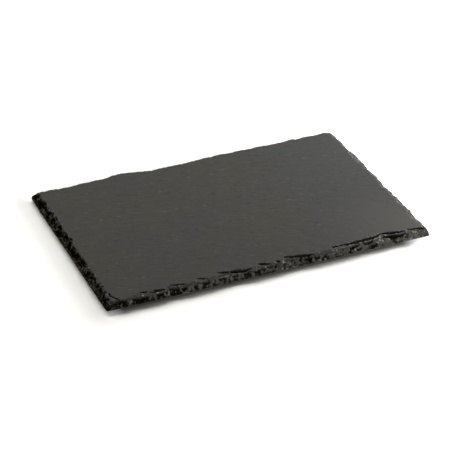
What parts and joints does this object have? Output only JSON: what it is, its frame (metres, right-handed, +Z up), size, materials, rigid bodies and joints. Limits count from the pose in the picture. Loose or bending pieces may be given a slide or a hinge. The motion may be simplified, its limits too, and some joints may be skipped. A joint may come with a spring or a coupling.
{
  "type": "slate serving board",
  "caption": "Flat rectangular serving board of dark riven slate with rough hand-dressed edges, standing on small round pads stuck under its corners.",
  "frame": {"origin": "middle of the board, on the surface that its pads stand on", "axes": "+X along the board's length, +Y along its width from front to back, +Z up out of the serving face"},
  "size_m": [0.3, 0.2, 0.0082],
  "materials": {
    "slate": "riven, matt to satin",
    "pad_foam": "matt foam",
    "adhesive": "translucent film"
  },
  "bodies": {
    "root": {"slate_slab": "slate", "pad_front_left": "pad_foam", "adhesive_film_front_left": "adhesive", "pad_front_right": "pad_foam", "adhesive_film_front_right": "adhesive", "pad_back_left": "pad_foam", "adhesive_film_back_left": "adhesive", "pad_back_right": "pad_foam", "adhesive_film_back_right": "adhesive"}
  },
  "joints": []
}
